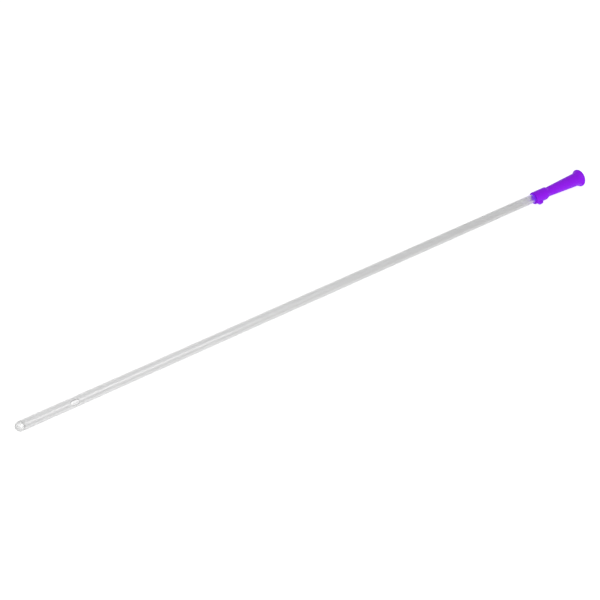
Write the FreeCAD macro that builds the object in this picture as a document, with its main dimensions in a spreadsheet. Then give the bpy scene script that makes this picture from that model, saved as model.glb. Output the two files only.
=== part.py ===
import FreeCAD, Part

# Funnel-ended drainage tube, gauge 22: a clear shaft with a closed round tip and one side eye, bonded into a
# one-piece soft connector that has a collar with a lug, a tapering neck and a flared mouth.
#
# Frame: +X runs along the axis and out of the funnel's mouth, +Z is up, and the origin is the centre of the
# mouth. The tube lies level. Lengths are in millimetres and angles in degrees.

import math
import os

import Sketcher

# The driving dimensions: alias, value, what it is.
SIZES = [
    ("overall_length", 500.0, "end of the tip to the funnel's mouth"),
    ("shaft_od", 7.333, "shaft outside, 22 on the French gauge, three to the millimetre"),
    ("lumen_dia", 4.9, "bore of the shaft"),
    ("tip_seat_dia", 5.3, "bore of the shaft, widened at its tip end for the tip's stub"),
    ("spigot_dia", 5.26, "stub of the tip that is fused into that seat"),
    ("spigot_length", 3.0, "stub and seat, along the axis"),
    ("eye_length", 7.3, "side eye, along the shaft"),
    ("eye_width", 4.6, "side eye, across the shaft"),
    ("eye_from_tip", 41.9, "end of the tip to the middle of the eye"),
    ("eye_angle", 42.0, "the eye's direction, up from level on the -Y side"),
    ("eye_softening", 0.25, "polished outer edge of the eye"),
    ("connector_length", 51.0, "collar's free end to the funnel's mouth"),
    ("socket_dia", 7.37, "bore of the collar, bonded round the shaft"),
    ("socket_end", 13.5, "collar's free end to the stop inside the socket"),
    ("neck_od", 8.15, "outside of the funnel where it leaves the collar"),
    ("neck_end", 16.4, "collar's free end to the start of the tapering funnel"),
    ("cone_end_od", 11.16, "outside of the funnel where the flare starts"),
    ("flare_start", 45.2, "collar's free end to the start of the flare"),
    ("flare_radius", 8.3, "hollow curve of the flare, outside"),
    ("mouth_od", 15.0, "rim of the mouth, outside"),
    ("rim_width", 0.9, "rim of the mouth, along the axis"),
    ("rim_rounding", 0.7, "rounded outer edge of the rim, in front"),
    ("rim_softening", 0.15, "broken outer edge of the rim, behind"),
    ("passage_dia", 5.4, "narrow bore between the socket and the taper"),
    ("taper_start", 18.0, "collar's free end to the start of the tapered bore"),
    ("taper_end", 45.4, "collar's free end to the end of the tapered bore"),
    ("taper_end_dia", 8.6, "tapered bore where the inner flare starts"),
    ("bore_flare_radius", 9.6, "hollow curve of the flare, inside"),
    ("mouth_bore", 12.2, "straight land inside the rim"),
    ("mouth_land", 1.5, "length of that land"),
    ("collar_od", 10.34, "collar outside"),
    ("collar_offset", 0.3, "the collar's outside is thicker on the lug's side by this shift"),
    ("collar_softening", 0.4, "rounded free edge of the collar"),
    ("shoulder_start", 12.0, "collar's free end to its sloping shoulder"),
    ("shoulder_end", 15.3, "collar's free end to the foot of the shoulder"),
    ("lug_reach", 7.3, "axis to the top of the lug"),
    ("lug_root", 4.6, "axis to the lug's root inside the collar's wall"),
    ("lug_width", 3.6, "lug, across"),
    ("lug_start", 1.5, "collar's free end to the lug"),
    ("lug_length", 4.4, "lug, along the axis"),
    ("lug_angle", 20.0, "the lug's direction, down from level on the -Y side"),
    ("lug_softening", 0.9, "rounded top edges of the lug"),
]


def make_sheet(doc):
    """Keeps every driving dimension in one sheet, a row each."""
    sheet = doc.addObject("Spreadsheet::Sheet", "sizes")
    for row, (alias, value, meaning) in enumerate(SIZES, start=1):
        sheet.set(f"A{row}", alias)
        sheet.set(f"B{row}", str(value))
        sheet.set(f"C{row}", meaning)
        sheet.setAlias(f"B{row}", alias)
    doc.recompute()
    return sheet


def size(expression):
    """The expression with each alias written as the sheet's own."""
    words = sorted((alias for alias, _, _ in SIZES), key=len, reverse=True)
    for number, word in enumerate(words):
        expression = expression.replace(word, f"<{number}>")
    for number, word in enumerate(words):
        expression = expression.replace(f"<{number}>", f"sizes.{word}")
    return expression


def value_of(item, expression):
    """What the expression comes to, as a plain number."""
    return float(item.evalExpression(size(expression)))


def new_body(doc, name, along):
    """A body whose own zero lies at that place along the part's axis."""
    body = doc.addObject("PartDesign::Body", name)
    body.Label = name
    body.setExpression("Placement.Base.x", size(along))
    return body


def new_sketch(body, name, role):
    """A sketch on one of the body's own origin planes."""
    sketch = body.newObject("Sketcher::SketchObject", name)
    plane = next(feature for feature in body.Origin.OriginFeatures if feature.Role == role)
    sketch.AttachmentSupport = (plane, [""])
    sketch.MapMode = "FlatFace"
    return sketch


def shift_and_turn(sketch, along, axis, angle):
    """Moves a sketch out from its plane and turns it about one of its own axes."""
    sketch.AttachmentOffset = FreeCAD.Placement(FreeCAD.Vector(0, 0, 0), FreeCAD.Rotation(axis, 1))
    sketch.setExpression("AttachmentOffset.Base.z", size(along))
    sketch.setExpression("AttachmentOffset.Rotation.Angle", size(angle))


def lock(sketch, side, end, axis, expression):
    """Holds one coordinate of a side's end at an expression, or on the sketch's axis where it is 0."""
    if expression == "0":
        sketch.addConstraint(Sketcher.Constraint("PointOnObject", side, end, -2 if axis == "X" else -1))
        return
    held = Sketcher.Constraint("Distance" + axis, side, end, value_of(sketch, expression))
    sketch.setExpression(f"Constraints[{sketch.addConstraint(held)}]", size(expression))


def arc_between(start, end, radius):
    """An arc from start to end, which turns left if the radius is positive and right if it is negative."""
    chord = end - start
    left = FreeCAD.Vector(-chord.y, chord.x, 0).normalize()
    rise = math.copysign(math.sqrt(radius**2 - (chord.Length / 2) ** 2), radius)
    centre = (start + end) * 0.5 + left * rise
    first, last = (math.atan2(p.y - centre.y, p.x - centre.x) for p in (start, end))
    if radius < 0:
        first, last = last, first
    return Part.ArcOfCircle(Part.Circle(centre, FreeCAD.Vector(0, 0, 1), abs(radius)), first, last)


def draw_side(sketch, start, end, radius):
    """One side of an outline: its number in the sketch and which of its ends are the start and the end."""
    if radius is None:
        return sketch.addGeometry(Part.LineSegment(start, end)), 1, 2
    turns_left = not radius.startswith("-")
    bound = radius.lstrip("-")
    length = value_of(sketch, bound)
    side = sketch.addGeometry(arc_between(start, end, length if turns_left else -length))
    held = sketch.addConstraint(Sketcher.Constraint("Radius", side, length))
    sketch.setExpression(f"Constraints[{held}]", size(bound))
    return (side, 1, 2) if turns_left else (side, 2, 1)


def draw_outline(sketch, corners):
    """A closed outline whose corners are (along, across) expressions. A third one starts an arc of that
    radius, turning left, or right after a minus sign; any other corner starts a straight side."""
    points = [FreeCAD.Vector(value_of(sketch, c[0]), value_of(sketch, c[1]), 0) for c in corners]
    sides = []
    for number, corner in enumerate(corners):
        radius = corner[2] if len(corner) == 3 else None
        sides.append(draw_side(sketch, points[number], points[(number + 1) % len(points)], radius))
    for number, corner in enumerate(corners):
        side, first, _ = sides[number]
        before, _, last = sides[number - 1]
        sketch.addConstraint(Sketcher.Constraint("Coincident", before, last, side, first))
        lock(sketch, side, first, "X", corner[0])
        lock(sketch, side, first, "Y", corner[1])


def draw_circle(sketch, across, radius):
    """A circle centred on the sketch's first axis, at that place on it."""
    centre = FreeCAD.Vector(value_of(sketch, across), 0, 0)
    length = value_of(sketch, radius)
    ring = sketch.addGeometry(Part.Circle(centre, FreeCAD.Vector(0, 0, 1), length))
    lock(sketch, ring, 3, "X", across)
    lock(sketch, ring, 3, "Y", "0")
    held = sketch.addConstraint(Sketcher.Constraint("Radius", ring, length))
    sketch.setExpression(f"Constraints[{held}]", size(radius))


def revolve(body, name, corners, kind="Revolution"):
    """Turns an outline once round the axis: a Revolution adds it, a Groove cuts it away."""
    sketch = new_sketch(body, name + "_outline", "XY_Plane")
    draw_outline(sketch, corners)
    turned = body.newObject("PartDesign::" + kind, name)
    turned.Profile = sketch
    turned.ReferenceAxis = (sketch, ["H_Axis"])
    turned.Angle = 360
    body.Document.recompute()
    return turned


def pad(body, name, sketch, length):
    """Pushes a sketch out along +X."""
    padded = body.newObject("PartDesign::Pad", name)
    padded.Profile = sketch
    padded.setExpression("Length", size(length))
    body.Document.recompute()
    return padded


def soften(body, base, name, radius, chosen):
    """Rounds the edges of base that chosen picks."""
    names = [f"Edge{number}" for number, edge in enumerate(base.Shape.Edges, start=1) if chosen(edge)]
    if not names:
        raise ValueError(f"{name} found no edge to round")
    fillet = body.newObject("PartDesign::Fillet", name)
    fillet.Base = (base, names)
    fillet.setExpression("Radius", size(radius))
    body.Document.recompute()
    return fillet


def ring_edge(sheet, along, radius):
    """Picks the round edges of that radius at a place along the axis."""
    place, reach = value_of(sheet, along), value_of(sheet, radius)

    def chosen(edge):
        round_edge = isinstance(edge.Curve, Part.Circle)
        return round_edge and abs(edge.Curve.Center.x - place) < 1e-4 and abs(edge.Curve.Radius - reach) < 1e-4

    return chosen


def make_shaft(doc, sheet):
    """The extruded clear tube, open at both ends, with one punched eye. Its zero is its tip end."""
    body = new_body(doc, "shaft_tube", "shaft_od / 2 - overall_length")
    section = new_sketch(body, "wall_section", "YZ_Plane")
    draw_circle(section, "0", "shaft_od / 2")
    draw_circle(section, "0", "lumen_dia / 2")
    wall = pad(body, "wall", section, "overall_length - shaft_od / 2 - connector_length + socket_end")
    seat = revolve(body, "tip_seat", [
        ("0", "0"),
        ("0", "tip_seat_dia / 2"),
        ("spigot_length", "tip_seat_dia / 2"),
        ("spigot_length", "0"),
    ], kind="Groove")
    if not seat.Shape.Volume < wall.Shape.Volume:
        raise ValueError("the tip's seat isn't cut into the shaft")
    whole = seat.Shape.Volume

    slot = new_sketch(body, "eye_slot", "XY_Plane")
    shift_and_turn(slot, "0", FreeCAD.Vector(1, 0, 0), "90 - eye_angle")
    middle = "eye_from_tip - shaft_od / 2"
    straight = "(eye_length - eye_width) / 2"
    draw_outline(slot, [
        (f"{middle} - eye_length / 2", "0", "eye_width / 2"),
        (f"{middle} - {straight}", "-eye_width / 2"),
        (f"{middle} + {straight}", "-eye_width / 2", "eye_width / 2"),
        (f"{middle} + eye_length / 2", "0", "eye_width / 2"),
        (f"{middle} + {straight}", "eye_width / 2"),
        (f"{middle} - {straight}", "eye_width / 2", "eye_width / 2"),
    ])
    eye = body.newObject("PartDesign::Pocket", "eye")
    eye.Profile = slot
    eye.setExpression("Length", size("shaft_od"))
    eye.Reversed = True
    doc.recompute()
    if not 0 < whole - eye.Shape.Volume < whole / 100:
        raise ValueError("the eye isn't cut through one side of the shaft")

    outside = value_of(sheet, "shaft_od / 2")
    eye_zone = value_of(sheet, "eye_length")
    eye_middle = value_of(sheet, middle)

    def eye_rim(edge):
        off_surface = max(abs(math.hypot(v.Point.y, v.Point.z) - outside) for v in edge.Vertexes)
        off_middle = max(abs(v.Point.x - eye_middle) for v in edge.Vertexes)
        return off_surface < 1e-3 and off_middle < eye_zone

    soften(body, eye, "eye_edge", "eye_softening", eye_rim)
    return body


def make_tip(doc):
    """The closed end: a solid half ball with a stub that is fused into the shaft. Its zero is its end."""
    body = new_body(doc, "rounded_tip", "-overall_length")
    revolve(body, "dome_and_stub", [
        ("0", "0", "-shaft_od / 2"),
        ("shaft_od / 2", "shaft_od / 2"),
        ("shaft_od / 2", "spigot_dia / 2"),
        ("shaft_od / 2 + spigot_length", "spigot_dia / 2"),
        ("shaft_od / 2 + spigot_length", "0"),
    ])
    return body


def add_collar(body, sheet):
    """The collar round the socket, its shoulder down to the neck, and the lug that stops the tube rolling."""
    out_of_section = FreeCAD.Vector(0, 0, 1)
    section = new_sketch(body, "collar_section", "YZ_Plane")
    shift_and_turn(section, "0", out_of_section, "lug_angle")
    draw_circle(section, "-collar_offset", "collar_od / 2")
    pad(body, "collar", section, "shoulder_start")

    top = new_sketch(body, "shoulder_top", "YZ_Plane")
    shift_and_turn(top, "shoulder_start", out_of_section, "lug_angle")
    draw_circle(top, "-collar_offset", "collar_od / 2")
    foot = new_sketch(body, "shoulder_foot", "YZ_Plane")
    shift_and_turn(foot, "shoulder_end", out_of_section, "lug_angle")
    draw_circle(foot, "0", "neck_od / 2")
    shoulder = body.newObject("PartDesign::AdditiveLoft", "shoulder")
    shoulder.Profile = top
    shoulder.Sections = [foot]
    body.Document.recompute()
    smooth = soften(
        body, shoulder, "collar_edge", "collar_softening", ring_edge(sheet, "0", "collar_od / 2")
    )
    whole = smooth.Shape.Volume

    block = new_sketch(body, "lug_section", "YZ_Plane")
    shift_and_turn(block, "lug_start", out_of_section, "lug_angle")
    draw_outline(block, [
        ("-lug_reach", "-lug_width / 2"),
        ("-lug_root", "-lug_width / 2"),
        ("-lug_root", "lug_width / 2"),
        ("-lug_reach", "lug_width / 2"),
    ])
    lug = pad(body, "lug", block, "lug_length")
    if lug.Shape.Volume <= whole:
        raise ValueError("the lug adds nothing to the collar")

    reach = value_of(sheet, "lug_reach")
    turn = math.radians(value_of(sheet, "lug_angle"))

    def lug_top(edge):
        heights = [-v.Point.y * math.cos(turn) - v.Point.z * math.sin(turn) for v in edge.Vertexes]
        return all(abs(height - reach) < 1e-3 for height in heights)

    return soften(body, lug, "lug_edges", "lug_softening", lug_top)


def make_connector(doc, sheet):
    """The soft moulding: collar, neck, tapering funnel, flare and rim. Its zero is the collar's free end."""
    body = new_body(doc, "funnel_connector", "-connector_length")
    revolve(body, "funnel", [
        ("0", "0"),
        ("0", "neck_od / 2"),
        ("neck_end", "neck_od / 2"),
        ("flare_start", "cone_end_od / 2", "flare_radius"),
        ("connector_length - rim_width", "mouth_od / 2"),
        ("connector_length", "mouth_od / 2"),
        ("connector_length", "0"),
    ])
    solid = add_collar(body, sheet)
    whole = solid.Shape.Volume
    passage = revolve(body, "passage", [
        ("0", "0"),
        ("0", "socket_dia / 2"),
        ("socket_end", "socket_dia / 2"),
        ("socket_end", "passage_dia / 2"),
        ("taper_start", "passage_dia / 2"),
        ("taper_end", "taper_end_dia / 2", "bore_flare_radius"),
        ("connector_length - mouth_land", "mouth_bore / 2"),
        ("connector_length", "mouth_bore / 2"),
        ("connector_length", "0"),
    ], kind="Groove")
    if not whole * 0.2 < whole - passage.Shape.Volume < whole * 0.9:
        raise ValueError("the passage isn't cut through the connector")
    rim_front = ring_edge(sheet, "connector_length", "mouth_od / 2")
    front = soften(body, passage, "rim_front_edge", "rim_rounding", rim_front)
    rim_back = ring_edge(sheet, "connector_length - rim_width", "mouth_od / 2")
    soften(body, front, "rim_back_edge", "rim_softening", rim_back)
    return body


def check(doc, bodies):
    """Stops the build if any object failed or any sub-part isn't one sound solid."""
    for item in doc.Objects:
        if {"Invalid", "Error"} & set(item.State):
            raise ValueError(f"{item.Name} failed: {item.State}")
    for body in bodies:
        shape = body.Shape
        if shape.isNull() or not shape.isValid() or len(shape.Solids) != 1:
            raise ValueError(f"{body.Label} isn't one sound solid")


def main():
    doc = FreeCAD.newDocument("funnel_ended_tube")
    sheet = make_sheet(doc)
    bodies = [make_shaft(doc, sheet), make_tip(doc), make_connector(doc, sheet)]
    doc.recompute()
    check(doc, bodies)
    os.makedirs("parts", exist_ok=True)
    for body in bodies:
        print(f"{body.Label}: {body.Shape.Volume:.1f} mm3, {len(body.Shape.Faces)} faces")
        body.Shape.exportStep(f"parts/{body.Label}.step")


main()
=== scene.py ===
"""Looks of a funnel-ended drainage tube: clear shaft with a side eye, solid clear tip, violet connector."""

import math

import bmesh
import bpy
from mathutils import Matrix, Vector


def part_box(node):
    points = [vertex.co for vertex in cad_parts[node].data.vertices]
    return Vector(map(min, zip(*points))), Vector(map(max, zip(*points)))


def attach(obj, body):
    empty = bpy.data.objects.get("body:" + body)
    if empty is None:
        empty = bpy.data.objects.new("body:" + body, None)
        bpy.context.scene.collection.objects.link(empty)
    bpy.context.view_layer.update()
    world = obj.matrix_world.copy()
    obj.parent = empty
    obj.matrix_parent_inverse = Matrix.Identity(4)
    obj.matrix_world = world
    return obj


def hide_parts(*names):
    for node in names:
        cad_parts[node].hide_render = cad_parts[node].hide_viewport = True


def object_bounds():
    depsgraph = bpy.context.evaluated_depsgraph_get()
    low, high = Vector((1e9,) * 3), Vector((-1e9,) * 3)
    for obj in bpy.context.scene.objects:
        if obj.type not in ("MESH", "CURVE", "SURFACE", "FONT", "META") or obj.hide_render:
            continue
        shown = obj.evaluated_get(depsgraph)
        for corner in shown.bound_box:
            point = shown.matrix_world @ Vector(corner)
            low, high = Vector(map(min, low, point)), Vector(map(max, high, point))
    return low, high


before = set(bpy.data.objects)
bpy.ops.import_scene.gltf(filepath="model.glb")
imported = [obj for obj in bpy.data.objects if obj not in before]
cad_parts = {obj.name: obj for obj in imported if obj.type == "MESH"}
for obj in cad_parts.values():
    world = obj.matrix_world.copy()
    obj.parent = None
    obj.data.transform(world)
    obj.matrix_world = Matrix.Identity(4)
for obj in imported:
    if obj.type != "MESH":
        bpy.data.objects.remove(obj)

bl_info = {
    "name": "Funnel-ended tube",
    "version": (1, 0, 0),
    "blender": (4, 5, 0),
    "location": "View3D > Sidebar > Tube",
    "description": "Builds the finished shaft, tip and connector of a funnel-ended drainage tube",
    "category": "Object",
}

MM = 0.001
SHAFT_LOW, SHAFT_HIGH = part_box("shaft_tube")
TIP_LOW, TIP_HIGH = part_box("rounded_tip")
FUNNEL_LOW, FUNNEL_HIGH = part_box("funnel_connector")
CAD_LOW, CAD_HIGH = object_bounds()

SHAFT_RADIUS = (SHAFT_HIGH.y - SHAFT_LOW.y) / 2
MOUTH_RADIUS = (FUNNEL_HIGH.z - FUNNEL_LOW.z) / 2
CONNECTOR_LENGTH = FUNNEL_HIGH.x - FUNNEL_LOW.x
# Bonded faces sink this far into each other, so that no gap of air shows between them.
BOND = 0.01 * MM
SHARP = math.radians(35)
# Numbers of a piece's second and third material.
WELD, CUT = 1, 2
# The Mix node's sockets for colours, by number, because several of them share a name.
MIX_FACTOR, MIX_LOW, MIX_HIGH, MIX_RESULT = 0, 6, 7, 2
CLEAR_IOR = 1.53


def length(name, description, millimetres):
    """A size that the user can change."""
    return bpy.props.FloatProperty(
        name=name, description=description, default=millimetres * MM, precision=4,
        subtype="DISTANCE", unit="LENGTH",
    )


def direction(name, description, degrees):
    """An angle about the shaft that the user can change."""
    return bpy.props.FloatProperty(
        name=name, description=description, default=math.radians(degrees),
        subtype="ANGLE", unit="ROTATION",
    )


def share(name, description, value):
    """An amount from 0 to 1 that the user can change."""
    return bpy.props.FloatProperty(
        name=name, description=description, default=value, min=0.0, max=1.0, subtype="FACTOR"
    )


def colour(name, description, value):
    """A colour that the user can change."""
    return bpy.props.FloatVectorProperty(
        name=name, description=description, default=value, min=0.0, max=1.0, size=3, subtype="COLOR"
    )


class ShaftSizes(bpy.types.PropertyGroup):
    """Sizes and finish of the clear shaft and its tip."""

    bore: length("Bore", "Inside diameter of the shaft", 4.9)
    solid_end: length("Solid end", "End of the tip to the face between the tip and the shaft", 5.4)
    eye_length: length("Eye length", "Side eye, along the shaft, inside its rounded lip", 5.9)
    eye_width: length("Eye width", "Side eye, across the shaft, inside its rounded lip", 3.2)
    eye_from_tip: length("Eye from tip", "End of the tip to the middle of the eye", 41.9)
    eye_rounding: length("Eye rounding", "Rounded lip of the eye", 0.7)
    eye_angle: direction("Eye angle", "The eye's direction, up from level on the front side", 42)
    tint: colour("Tint", "The shaft's tint at the tip", (0.843, 0.843, 0.843))
    haze: share("Haze", "Roughness of the shaft's wall", 0.30)
    # The tint at the connector, greyer than at the tip by a painted shade.
    far_tint_with_shade: colour("Far tint", "The shaft's tint at the connector", (0.785, 0.785, 0.785))
    # Colour of the painted shade on the upper side of the eye's lip.
    lip_shade_tint: colour("Cut tint", "Upper side of the eye's lip", (0.08, 0.08, 0.08))
    tip_tint: colour("Tip tint", "Clear material of the tip", (0.76, 0.76, 0.76))
    # Colour of the painted shade where the tip is seen edge on.
    tip_edge_on_shade: colour("Tip rim tint", "The tip's material where it is seen edge on", (0.12, 0.12, 0.12))
    tip_haze: share("Tip haze", "Roughness of the tip", 0.08)


class ConnectorSizes(bpy.types.PropertyGroup):
    """Sizes and finish of the moulded connector."""

    socket_depth: length("Socket depth", "Collar's free end to the stop inside", 13.5)
    collar: length("Collar", "Outside diameter of the collar", 10.34)
    collar_shift: length("Collar shift", "The collar's outside leans this far towards the lug", 0.3)
    collar_rounding: length("Collar rounding", "Rounded free edge of the collar", 0.4)
    shoulder_start: length("Shoulder start", "Collar's free end to its shoulder", 12.2)
    shoulder_end: length("Shoulder end", "Collar's free end to the shoulder's foot", 15.3)
    shoulder_lean: length("Shoulder lean", "How much earlier the shoulder starts on the lug's side", 1.0)
    neck: length("Neck", "Outside diameter where the funnel leaves the collar", 8.15)
    cone_end: length("Cone end", "Outside diameter where the flare starts", 11.16)
    flare_start: length("Flare start", "Collar's free end to the start of the flare", 45.2)
    flare_radius: length("Flare radius", "Hollow curve of the flare, outside", 8.3)
    rim_width: length("Rim width", "Rim of the mouth, along the axis", 0.9)
    rim_rounding: length("Rim rounding", "Rounded edge of the rim, in front", 0.7)
    rim_softening: length("Rim softening", "Broken edge of the rim, behind", 0.15)
    entry: length("Entry", "Bore of the mouth, inside the rim", 12.2)
    entry_depth: length("Entry depth", "Length of that bore", 1.5)
    entry_rounding: length("Entry rounding", "Rounded inner edge of the mouth", 0.25)
    bore_flare: length("Bore flare", "Hollow curve of the flare, inside", 9.6)
    throat: length("Throat", "Bore where the taper meets the flare", 8.6)
    taper_end: length("Taper end", "Collar's free end to that place", 45.4)
    taper_start: length("Taper start", "Collar's free end to the narrow end of the taper", 18.0)
    passage: length("Passage", "Narrow bore between the socket and the taper", 5.4)
    lug_reach: length("Lug reach", "Axis to the top of the lug", 7.3)
    lug_width: length("Lug width", "Lug, across", 3.6)
    lug_start: length("Lug start", "Collar's free end to the lug", 1.5)
    lug_length: length("Lug length", "Lug, along the axis", 4.4)
    lug_fairing: share("Lug fairing", "How softly the lug's sides run into the collar", 0.38)
    lug_angle: direction("Lug angle", "The lug's direction, up from level on the front side", -20)
    violet: colour("Violet", "Colour of the moulding", (0.29, 0.010, 0.82))
    glow: colour("Glow", "Light that the socket's wall gives off", (0.20, 0.012, 0.62))
    deep_violet: colour("Deep violet", "Second shade of the moulding, mixed in softly", (0.25, 0.007, 0.74))


class Wire:
    """A value that changes over a surface. Arithmetic on it adds Math nodes."""

    def __init__(self, finish, socket):
        self.finish = finish
        self.socket = socket

    def _math(self, operation, *values):
        node = self.finish.node("ShaderNodeMath", {"operation": operation}, dict(enumerate(values)))
        return Wire(self.finish, node.outputs[0])

    def __add__(self, other):
        return self._math("ADD", self, other)

    __radd__ = __add__

    def __sub__(self, other):
        return self._math("SUBTRACT", self, other)

    def __rsub__(self, other):
        return self._math("SUBTRACT", other, self)

    def __mul__(self, other):
        return self._math("MULTIPLY", self, other)

    __rmul__ = __mul__

    def __lt__(self, other):
        return self._math("LESS_THAN", self, other)


class Nodes:
    """A node tree and the few ways its nodes are made."""

    def __init__(self, owner):
        owner.use_nodes = True
        self.tree = owner.node_tree
        self.tree.nodes.clear()

    def node(self, kind, settings=None, sockets=None):
        """A node of that type: its settings first, then the values or links of its sockets."""
        node = self.tree.nodes.new(kind)
        for name, value in (settings or {}).items():
            setattr(node, name, value)
        for name, value in (sockets or {}).items():
            if isinstance(value, Wire):
                self.tree.links.new(value.socket, node.inputs[name])
            else:
                node.inputs[name].default_value = value
        return node

    def wire(self, kind, output, settings=None, sockets=None):
        """One output of a new node."""
        return Wire(self, self.node(kind, settings, sockets).outputs[output])

    def place(self):
        """The x, y and z of the point in the part's frame, in metres."""
        split = self.node("ShaderNodeSeparateXYZ", None, {0: self.wire("ShaderNodeTexCoord", "Object")})
        return [Wire(self, output) for output in split.outputs]

    def ramp(self, value, start, end):
        """Smoothly from 0 at start to 1 at end."""
        sockets = {"Value": value, "From Min": start, "From Max": end}
        return self.wire("ShaderNodeMapRange", 0, {"interpolation_type": "SMOOTHSTEP"}, sockets)

    def noise(self, cells, detail, roughness=0.5):
        """Soft noise from 0 to 1, with that many cells to the metre along x, y and z."""
        place = self.wire("ShaderNodeTexCoord", "Object")
        place = self.wire("ShaderNodeVectorMath", 0, {"operation": "MULTIPLY"}, {0: place, 1: cells})
        sockets = {"Vector": place, "Scale": 1.0, "Detail": detail, "Roughness": roughness}
        return self.wire("ShaderNodeTexNoise", 0, {"noise_dimensions": "3D"}, sockets)

    def blend(self, factor, low, high):
        """From colour low to colour high."""
        low, high = (part if isinstance(part, Wire) else (*part, 1.0) for part in (low, high))
        sockets = {MIX_FACTOR: factor, MIX_LOW: low, MIX_HIGH: high}
        return self.wire("ShaderNodeMix", MIX_RESULT, {"data_type": "RGBA"}, sockets)

    def bump(self, height, distance, strength=1.0):
        """A normal that follows the height."""
        sockets = {"Height": height, "Distance": distance, "Strength": strength}
        return self.wire("ShaderNodeBump", 0, None, sockets)


class Finish(Nodes):
    """A procedural material that ends in one Principled shader."""

    def __init__(self, name):
        self.material = bpy.data.materials.new(name)
        super().__init__(self.material)

    def surface(self, sockets):
        """The finished material, with those values and links on its shader."""
        shader = self.wire("ShaderNodeBsdfPrincipled", 0, None, sockets)
        self.node("ShaderNodeOutputMaterial", None, {"Surface": shader})
        return self.material

    def clear(self, sockets):
        """The finished material, as see-through plastic."""
        return self.surface({**sockets, "Transmission Weight": 1.0, "IOR": CLEAR_IOR})


def light_sky(world, overhead, horizon):
    """A plain studio: white where the floor ends, pale grey overhead."""
    nodes = Nodes(world)
    place = nodes.wire("ShaderNodeTexCoord", "Generated")
    up = nodes.wire("ShaderNodeSeparateXYZ", "Z", None, {0: place})
    shade = nodes.blend(nodes.ramp(up, 0.02, 0.30), (horizon,) * 3, (overhead,) * 3)
    light = nodes.wire("ShaderNodeBackground", 0, None, {"Color": shade, "Strength": 1.0})
    nodes.node("ShaderNodeOutputWorld", None, {"Surface": light})


def weld_finish(name):
    """The face between the tip and the shaft, next to invisible."""
    finish = Finish(name)
    cloud = finish.noise((300.0, 300.0, 300.0), 2.0)
    tint = finish.blend(cloud, (0.98, 0.98, 0.98), (1.0, 1.0, 1.0))
    return finish.clear({"Base Color": tint, "Roughness": 0.05})


def cut_finish(lip_shade_tint, eye_angle):
    """The eye's lip. Its upper side is darkened by a painted shade, for the sake of the look alone."""
    finish = Finish("cut_edge")
    _, y, z = finish.place()
    upwards = y * math.sin(eye_angle) + z * math.cos(eye_angle)
    cloud = finish.noise((300.0, 300.0, 300.0), 2.0)
    # Painted shade: the lip grows darker towards its upper side.
    painted_shade_and_tone = finish.ramp(upwards + 0.2 * MM * cloud, 0.4 * MM, 1.6 * MM)
    tint = finish.blend(painted_shade_and_tone, (0.98, 0.98, 0.98), lip_shade_tint)
    return finish.clear({"Base Color": tint, "Roughness": 0.08 + 0.05 * cloud})


def tip_finish(tint, edge_on_shade, haze):
    """Soft clear plastic of the solid tip, with a painted shade that darkens it where it is seen edge on.
    """
    finish = Finish("clear_tip")
    cloud = finish.noise((300.0, 300.0, 300.0), 2.0)
    # Painted shade: darker where the surface is seen edge on.
    edge = finish.wire("ShaderNodeLayerWeight", "Facing", None, {"Blend": 0.4})
    clear = finish.blend(edge, tint, edge_on_shade)
    return finish.clear({
        "Base Color": finish.blend(0.06 * cloud, clear, edge_on_shade),
        "Roughness": haze + 0.02 * cloud,
        "Normal": finish.bump(cloud, 0.001 * MM, 0.2),
    })


def tubing_finish(tint, far_tint_with_shade, haze):
    """Soft clear plastic with fine draw lines along it, and a painted shade that makes it greyer towards
    the connector.
    """
    finish = Finish("clear_tubing")
    lines = finish.noise((3.0, 420.0, 420.0), 3.0)
    cloud = finish.noise((35.0, 120.0, 120.0), 2.0)
    # Painted shade: greyer along the shaft towards the connector.
    along = finish.ramp(finish.place()[0], SHAFT_LOW.x, SHAFT_HIGH.x)
    clear = finish.blend(along, tint, far_tint_with_shade)
    painted_shade_and_tone = finish.blend(along, [0.98 * part for part in tint], [0.98 * part for part in far_tint_with_shade])
    return finish.clear({
        "Base Color": finish.blend(0.7 * cloud + 0.3 * lines, painted_shade_and_tone, clear),
        "Roughness": haze - 0.1 * haze * lines,
        "Normal": finish.bump(lines, 0.001 * MM, 0.2),
    })


def violet_finish(violet, deep_violet, glow, socket_depth):
    """Soft moulded plastic with a satin skin in two close shades. The socket's wall gives off light of
    its own, which stands in for light through the collar."""
    finish = Finish("violet_moulding")
    cloud = finish.noise((90.0, 160.0, 160.0), 2.0)
    grain = finish.noise((2200.0, 2200.0, 2200.0), 3.0)
    x, y, z = finish.place()
    in_socket = (y * y + z * z < (SHAFT_RADIUS + 0.02 * MM) ** 2) * (x < FUNNEL_LOW.x + socket_depth)
    return finish.surface({
        "Base Color": finish.blend(cloud, deep_violet, violet),
        "Roughness": 0.36 + 0.10 * cloud + 0.06 * grain,
        "Specular IOR Level": 0.08,
        "Emission Color": finish.blend(in_socket, (0.0, 0.0, 0.0), glow),
        "Emission Strength": 1.0,
        "Normal": finish.bump(grain, 0.015 * MM, 0.5),
    })


def floor_finish():
    """A pale table that gives off light, so the object casts next to no shadow."""
    finish = Finish("lit_table")
    cloud = finish.noise((3.0, 3.0, 3.0), 2.0)
    return finish.surface({
        "Base Color": finish.blend(cloud, (0.36, 0.36, 0.36), (0.38, 0.38, 0.38)),
        "Roughness": 0.9,
        "Specular IOR Level": 0.0,
        "Emission Color": (1.0, 1.0, 1.0, 1.0),
        "Emission Strength": 0.82,
    })


def across(angle, radius):
    """The (y, z) of a point at that angle up from level on the front side."""
    return -radius * math.cos(angle), radius * math.sin(angle)


def arc(centre, radius, first, last, steps):
    """Points of an arc in the (along, out) plane, with its angles in degrees up from along."""
    turns = [math.radians(first + (last - first) * step / steps) for step in range(steps + 1)]
    return [(centre[0] + radius * math.cos(a), centre[1] + radius * math.sin(a)) for a in turns]


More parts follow.
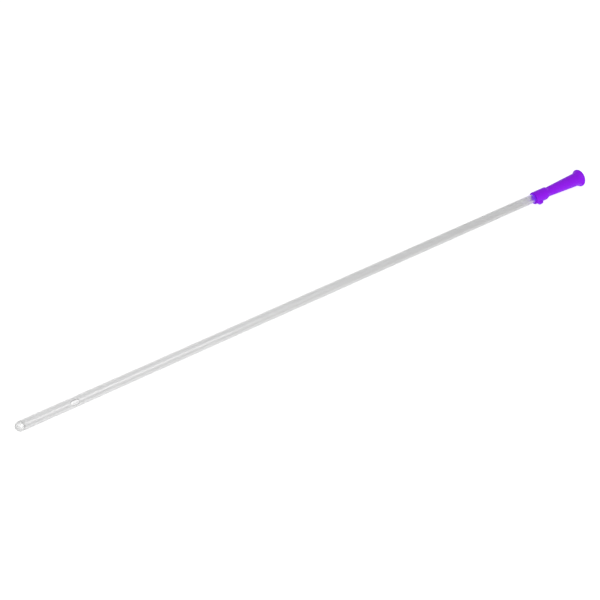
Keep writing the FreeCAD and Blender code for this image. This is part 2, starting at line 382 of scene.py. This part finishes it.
def straight(start, end, steps):
    """Points of a straight run in the (along, out) plane, without its first one."""
    shares = [step / steps for step in range(1, steps + 1)]
    return [tuple(a + (b - a) * part for a, b in zip(start, end)) for part in shares]


def hollow(start, end, radius, steps):
    """Points of a curve that bends outwards from start to end, without its first one."""
    chord = Vector(end) - Vector(start)
    rise = math.sqrt(radius**2 - chord.length_squared / 4)
    centre = (Vector(start) + Vector(end)) / 2 + Vector((-chord.y, chord.x)).normalized() * rise
    first, last = (math.degrees(math.atan2(p[1] - centre.y, p[0] - centre.x)) for p in (start, end))
    return arc(centre, radius, first, last, steps)[1:]


def eased(value, start, end):
    """Smoothly from 0 at start to 1 at end."""
    part = min(max((value - start) / (end - start), 0.0), 1.0)
    return part * part * (3 - 2 * part)


class Skin:
    """Vertices and faces of one closed mesh, gathered ring by ring."""

    def __init__(self):
        self.vertices = []
        self.faces = []
        self.kinds = []

    def ring(self, points):
        """Adds points and gives back their numbers."""
        first = len(self.vertices)
        self.vertices.extend(points)
        return list(range(first, len(self.vertices)))

    def join(self, rings, kind=0):
        """Closed bands of four-sided faces between rings of as many points, in the material of that
        number."""
        for one, other in zip(rings, rings[1:]):
            for i in range(len(one)):
                j = (i + 1) % len(one)
                self.faces.append((one[i], one[j], other[j], other[i]))
                self.kinds.append(kind)

    def cap(self, ring, point):
        """A fan from a ring to one point."""
        middle = self.ring([point])[0]
        for i in range(len(ring)):
            self.faces.append((ring[i], ring[(i + 1) % len(ring)], middle))
            self.kinds.append(0)

    def piece(self, name, materials, node, slot):
        """The finished piece that stands for one CAD node, its faces turned outwards."""
        mesh = bpy.data.meshes.new(name)
        mesh.from_pydata(self.vertices, [], self.faces)
        mesh.polygons.foreach_set("material_index", self.kinds)
        shape = bmesh.new()
        shape.from_mesh(mesh)
        bmesh.ops.recalc_face_normals(shape, faces=shape.faces)
        shape.to_mesh(mesh)
        shape.free()
        mesh.shade_smooth()
        mesh.set_sharp_from_angle(angle=SHARP)
        for material in materials:
            mesh.materials.append(material)
        piece = bpy.data.objects.new(name, mesh)
        bpy.context.collection.objects.link(piece)
        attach(piece, "root")
        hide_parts(node)
        return piece


class TUBE_OT_shaft(bpy.types.Operator):
    """Builds the clear shaft with its rounded side eye"""

    bl_idname = "tube.shaft"
    bl_label = "Shaft"

    TURNS = 96
    EYE_MARGIN = 5.0 * MM
    SEAM_STEPS = 36
    EYE_RINGS = 30
    # Cosine of the bearing at which a straight side of the eye's outline meets its round end.
    CORNER_COSINE = 0.35
    # Above 1, the rings of the web lie closer together towards the eye.
    CROWDING = 1.3

    def execute(self, context):
        sizes = context.scene.shaft_sizes
        start = CAD_LOW.x + sizes.solid_end - BOND
        middle = CAD_LOW.x + sizes.eye_from_tip
        half = sizes.eye_length / 2 + self.EYE_MARGIN
        near, far = middle - half, middle + half
        bore = sizes.bore / 2

        skin = Skin()
        outside = self.wall(skin, sizes, SHAFT_RADIUS, sizes.eye_rounding, start, near, far)
        inside = self.wall(skin, sizes, bore, 0.0, start, near, far)
        skin.join([outside["tip"], inside["tip"]], WELD)
        skin.join([outside["funnel"], inside["funnel"]])

        rims = [outside["eye"]]
        for degrees in (22.5, 45.0, 67.5, 90.0):
            grow = sizes.eye_rounding * (1 - math.sin(math.radians(degrees)))
            sunk = sizes.eye_rounding * (1 - math.cos(math.radians(degrees)))
            rims.append(skin.ring(self.eye_edge(sizes, SHAFT_RADIUS - sunk, grow)))
        skin.join(rims[:2])
        skin.join(rims[1:] + [inside["eye"]], CUT)

        wall = tubing_finish(tuple(sizes.tint), tuple(sizes.far_tint_with_shade), sizes.haze)
        cut = cut_finish(tuple(sizes.lip_shade_tint), sizes.eye_angle)
        skin.piece("shaft", [wall, weld_finish("shaft_weld"), cut], "shaft_tube", "clear_tubing")
        return {"FINISHED"}

    def bearings(self):
        """Angles round the eye's middle, one for each point of the border that surrounds it."""
        sides = ((225, 135, self.TURNS), (135, 45, self.SEAM_STEPS), (45, -45, self.TURNS),
                 (-45, -135, self.SEAM_STEPS))
        return [
            math.radians(first + (last - first) * step / steps)
            for first, last, steps in sides for step in range(steps)
        ]

    def eye_outline(self, sizes, grow):
        """The eye's edge, grown by that much, as (along, across) from its middle."""
        half_width = sizes.eye_width / 2
        run = sizes.eye_length / 2 - half_width
        reach = half_width + grow
        outline = []
        for bearing in self.bearings():
            along = run * max(-1.0, min(1.0, math.cos(bearing) / self.CORNER_COSINE))
            outline.append((along + reach * math.cos(bearing), reach * math.sin(bearing)))
        return outline

    def eye_edge(self, sizes, radius, grow):
        """The eye's edge on a cylinder of that radius, in the part's frame."""
        middle = CAD_LOW.x + sizes.eye_from_tip
        return [
            (middle + x, *across(sizes.eye_angle + math.asin(w / radius), radius))
            for x, w in self.eye_outline(sizes, grow)
        ]

    def wall(self, skin, sizes, radius, grow, start, near, far):
        """One of the wall's two surfaces: plain rings up to the eye, a web of rings that close in on the
        eye's edge, and plain rings on to the funnel. Gives back the rings at the tip, eye and funnel."""
        turns = [2 * math.pi * step / self.TURNS - math.pi for step in range(self.TURNS)]

        def point(x, turn):
            return (x, *across(sizes.eye_angle + turn, radius))

        def plain(first, last, steps):
            places = [first + (last - first) * step / steps for step in range(steps + 1)]
            return [skin.ring([point(x, turn) for turn in turns]) for x in places]

        before = plain(start, near, 6)
        after = plain(far, SHAFT_HIGH.x, 60)
        skin.join(before)
        skin.join(after)

        stations = [near + (far - near) * k / self.SEAM_STEPS for k in range(1, self.SEAM_STEPS)]
        seam = skin.ring([point(x, math.pi) for x in stations])
        near_ring, far_ring = before[-1], after[0]
        border = near_ring + [near_ring[0]] + seam
        border += [far_ring[0]] + far_ring[:0:-1]
        border += [far_ring[0]] + seam[::-1]
        flat = [(near, turn) for turn in turns] + [(near, math.pi)] + [(x, math.pi) for x in stations]
        flat += [(far, math.pi)] + [(far, turn) for turn in turns[:0:-1]]
        flat += [(far, -math.pi)] + [(x, -math.pi) for x in stations[::-1]]

        middle = CAD_LOW.x + sizes.eye_from_tip
        edge = [(middle + x, math.asin(w / radius)) for x, w in self.eye_outline(sizes, grow)]
        web = [border]
        for k in range(1, self.EYE_RINGS + 1):
            part = 1 - (1 - k / self.EYE_RINGS) ** self.CROWDING
            web.append(skin.ring([
                point(x + (end_x - x) * part, turn + (end_turn - turn) * part)
                for (x, turn), (end_x, end_turn) in zip(flat, edge)
            ]))
        skin.join(web)
        return {"tip": before[0], "eye": web[-1], "funnel": after[-1]}


class TUBE_OT_tip(bpy.types.Operator):
    """Builds the solid round tip that closes the shaft"""

    bl_idname = "tube.tip"
    bl_label = "Tip"

    TURNS = 96

    def execute(self, context):
        sizes = context.scene.shaft_sizes
        radius = (TIP_HIGH.y - TIP_LOW.y) / 2
        back = CAD_LOW.x + sizes.solid_end
        plug = sizes.bore / 2 + BOND
        crown = TIP_HIGH.x - back
        crown_radius = (plug**2 + crown**2) / (2 * crown)
        crown_angle = math.degrees(math.asin(plug / crown_radius))
        outside = arc((TIP_LOW.x + radius, 0.0), radius, 180 - 2, 90, 44)
        outside += straight(outside[-1], (back, radius), 4)
        inside = arc((TIP_HIGH.x - crown_radius, 0.0), crown_radius, crown_angle, 2, 16)
        skin = Skin()
        turns = [2 * math.pi * step / self.TURNS for step in range(self.TURNS)]
        rings = [skin.ring([(x, *across(turn, r)) for turn in turns]) for x, r in outside + inside]
        skin.join(rings[: len(outside)])
        skin.join(rings[len(outside) - 1 : len(outside) + 1], WELD)
        skin.join(rings[len(outside) :])
        skin.cap(rings[0], (TIP_LOW.x, 0.0, 0.0))
        skin.cap(rings[-1], (TIP_HIGH.x, 0.0, 0.0))
        finish = tip_finish(tuple(sizes.tip_tint), tuple(sizes.tip_edge_on_shade), sizes.tip_haze)
        skin.piece("tip", [finish, weld_finish("tip_weld")], "rounded_tip", "clear_tip")
        return {"FINISHED"}


class TUBE_OT_connector(bpy.types.Operator):
    """Builds the violet connector: collar, lug, neck, funnel and flared mouth"""

    bl_idname = "tube.connector"
    bl_label = "Connector"

    TURNS = 240

    def execute(self, context):
        sizes = context.scene.connector_sizes
        skin = Skin()
        turns = [2 * math.pi * step / self.TURNS for step in range(self.TURNS)]

        def ring(x, radii):
            return skin.ring([(FUNNEL_LOW.x + x, *across(turn, r)) for turn, r in zip(turns, radii)])

        rings = []
        for x in self.collar_stations(sizes):
            rings.append(ring(x, [self.collar_radius(sizes, x, turn) for turn in turns]))
        for x, radius in self.funnel_profile(sizes) + self.bore_profile(sizes):
            rings.append(ring(x, [radius] * self.TURNS))
        skin.join(rings + rings[:1])
        colours = (tuple(part) for part in (sizes.violet, sizes.deep_violet, sizes.glow))
        finish = violet_finish(*colours, sizes.socket_depth)
        skin.piece("connector", [finish], "funnel_connector", "violet_moulding")
        return {"FINISHED"}

    @staticmethod
    def collar_stations(sizes):
        """Places along the collar, close together at its rounded edge and at the ends of the lug."""
        edge = [sizes.collar_rounding * (1 - math.cos(math.radians(15 * k))) for k in range(7)]
        fine = 0.2 * MM
        steps = int((sizes.shoulder_end - sizes.collar_rounding) / fine)
        run = (sizes.shoulder_end - sizes.collar_rounding) / steps
        return edge + [sizes.collar_rounding + run * k for k in range(1, steps + 1)]

    @staticmethod
    def collar_radius(sizes, x, turn):
        """The collar's outside: a circle shifted towards the lug, a rounded free edge, a shoulder that
        slopes to the neck, and the lug."""
        away = (turn - sizes.lug_angle + math.pi) % (2 * math.pi) - math.pi
        shift, radius, rounding = sizes.collar_shift, sizes.collar / 2, sizes.collar_rounding
        collar = shift * math.cos(away) + math.sqrt(radius**2 - (shift * math.sin(away)) ** 2)
        if x < rounding:
            collar -= rounding - math.sqrt(rounding**2 - (rounding - x) ** 2)
        shoulder_start = sizes.shoulder_start - sizes.shoulder_lean * math.cos(away)
        collar += (sizes.neck / 2 - collar) * eased(x, shoulder_start, sizes.shoulder_end)
        return max(collar, TUBE_OT_connector.lug_radius(sizes, x, away, collar))

    @staticmethod
    def lug_radius(sizes, x, away, collar):
        """The lug's outside at that angle away from its middle, faired into the collar."""
        if abs(away) > math.pi / 3:
            return collar
        across_lug = abs(math.sin(away)) * sizes.lug_reach / (sizes.lug_width / 2)
        along_lug = abs(x - sizes.lug_start - sizes.lug_length / 2) / (sizes.lug_length / 2)
        outward = (across_lug**3 + along_lug**3) ** (1 / 3)
        top = sizes.lug_reach / math.cos(away)
        return top - (top - collar) * eased(outward, 1 - sizes.lug_fairing, 1 + sizes.lug_fairing)

    @staticmethod
    def funnel_profile(sizes):
        """The outside from the shoulder's foot to the mouth, as (along, out)."""
        foot = (sizes.shoulder_end, sizes.neck / 2)
        cone_end = (sizes.flare_start, sizes.cone_end / 2)
        rim = CONNECTOR_LENGTH - sizes.rim_width
        soft, rounding = sizes.rim_softening, sizes.rim_rounding
        points = straight(foot, cone_end, 40)
        points += hollow(cone_end, (rim, MOUTH_RADIUS - soft), sizes.flare_radius, 16)
        points += arc((rim + soft, MOUTH_RADIUS - soft), soft, 150, 90, 3)[1:]
        front = (CONNECTOR_LENGTH - rounding, MOUTH_RADIUS - rounding)
        return points + arc(front, rounding, 90, 0, 8)

    @staticmethod
    def bore_profile(sizes):
        """The inside from the mouth back to the collar's free end, as (along, out)."""
        entry, soft = sizes.entry / 2, sizes.entry_rounding
        land_end = (CONNECTOR_LENGTH - sizes.entry_depth, entry)
        throat = (sizes.taper_end, sizes.throat / 2)
        passage = (sizes.taper_start, sizes.passage / 2)
        stop = (sizes.socket_depth, sizes.passage / 2)
        socket = SHAFT_RADIUS - BOND
        points = arc((CONNECTOR_LENGTH - soft, entry + soft), soft, 0, -90, 5)
        points += [land_end]
        points += hollow(throat, land_end, sizes.bore_flare, 14)[-2::-1]
        points += [throat]
        points += straight(throat, passage, 24)
        points += straight(passage, stop, 3)
        points += straight((sizes.socket_depth, socket), (soft, socket), 12)
        points += arc((soft, socket + soft), soft, -90, -180, 5)[1:]
        return points


class TUBE_OT_stage(bpy.types.Operator):
    """Sets up the pale floor, the soft light and the camera"""

    bl_idname = "tube.stage"
    bl_label = "Stage"

    FLOOR_HALF = 30.0
    SKY = 0.58
    HORIZON = 1.05
    SOFTBOX_PLACE = Vector((-0.32, -0.40, 0.52))
    SOFTBOX_AIM = Vector((-0.32, 0.0, 0.0))
    SOFTBOX_WIDTH = 0.40
    SOFTBOX_WATTS = 2.2
    CAMERA_AIM = Vector((-0.2775, 0.0016, 0.0))
    CAMERA_AZIMUTH = math.radians(-30.87)
    CAMERA_ELEVATION = math.radians(47.89)
    CAMERA_DISTANCE = 0.6871
    LENS = 54.79

    def execute(self, context):
        scene = context.scene
        half = self.FLOOR_HALF
        corners = [(-half, -half), (half, -half), (half, half), (-half, half)]
        mesh = bpy.data.meshes.new("floor")
        mesh.from_pydata([(x, y, CAD_LOW.z) for x, y in corners], [], [(0, 1, 2, 3)])
        mesh.materials.append(floor_finish())
        floor = bpy.data.objects.new("floor", mesh)
        context.collection.objects.link(floor)

        world = bpy.data.worlds.new("studio")
        light_sky(world, self.SKY, self.HORIZON)
        scene.world = world
        scene.view_settings.view_transform = "Standard"

        self.soft_light(context)
        self.camera(context)
        return {"FINISHED"}

    def soft_light(self, context):
        """A square softbox beside the camera, towards the tip's end."""
        lamp = bpy.data.lights.new("softbox", "AREA")
        lamp.shape = "SQUARE"
        lamp.size = self.SOFTBOX_WIDTH
        lamp.energy = self.SOFTBOX_WATTS
        light = bpy.data.objects.new("softbox", lamp)
        context.collection.objects.link(light)
        light.location = self.SOFTBOX_PLACE
        light.rotation_euler = (self.SOFTBOX_AIM - self.SOFTBOX_PLACE).to_track_quat("-Z", "Y").to_euler()

    def camera(self, context):
        level = math.cos(self.CAMERA_ELEVATION)
        back = Vector((
            math.sin(self.CAMERA_AZIMUTH) * level,
            -math.cos(self.CAMERA_AZIMUTH) * level,
            math.sin(self.CAMERA_ELEVATION),
        ))
        lens = bpy.data.cameras.new("camera")
        lens.lens = self.LENS
        lens.clip_start = 0.01
        camera = bpy.data.objects.new("camera", lens)
        context.collection.objects.link(camera)
        camera.location = self.CAMERA_AIM + back * self.CAMERA_DISTANCE
        camera.rotation_euler = (-back).to_track_quat("-Z", "Y").to_euler()
        context.scene.camera = camera


class TUBE_PT_build(bpy.types.Panel):
    """Lists the pieces in the order they are built"""

    bl_idname = "TUBE_PT_build"
    bl_label = "Funnel-ended tube"
    bl_space_type = "VIEW_3D"
    bl_region_type = "UI"
    bl_category = "Tube"

    def draw(self, context):
        for operator in OPERATORS:
            self.layout.operator(operator.bl_idname)
        for settings in (context.scene.shaft_sizes, context.scene.connector_sizes):
            for name in settings.__annotations__:
                self.layout.prop(settings, name)


OPERATORS = (TUBE_OT_shaft, TUBE_OT_tip, TUBE_OT_connector, TUBE_OT_stage)
CLASSES = (ShaftSizes, ConnectorSizes, *OPERATORS, TUBE_PT_build)


def register():
    for item in CLASSES:
        bpy.utils.register_class(item)
    bpy.types.Scene.shaft_sizes = bpy.props.PointerProperty(type=ShaftSizes)
    bpy.types.Scene.connector_sizes = bpy.props.PointerProperty(type=ConnectorSizes)


def unregister():
    del bpy.types.Scene.connector_sizes
    del bpy.types.Scene.shaft_sizes
    for item in reversed(CLASSES):
        bpy.utils.unregister_class(item)


def main():
    register()
    bpy.ops.tube.shaft()
    bpy.ops.tube.tip()
    bpy.ops.tube.connector()
    bpy.ops.tube.stage()


if __name__ == "__main__":
    main()
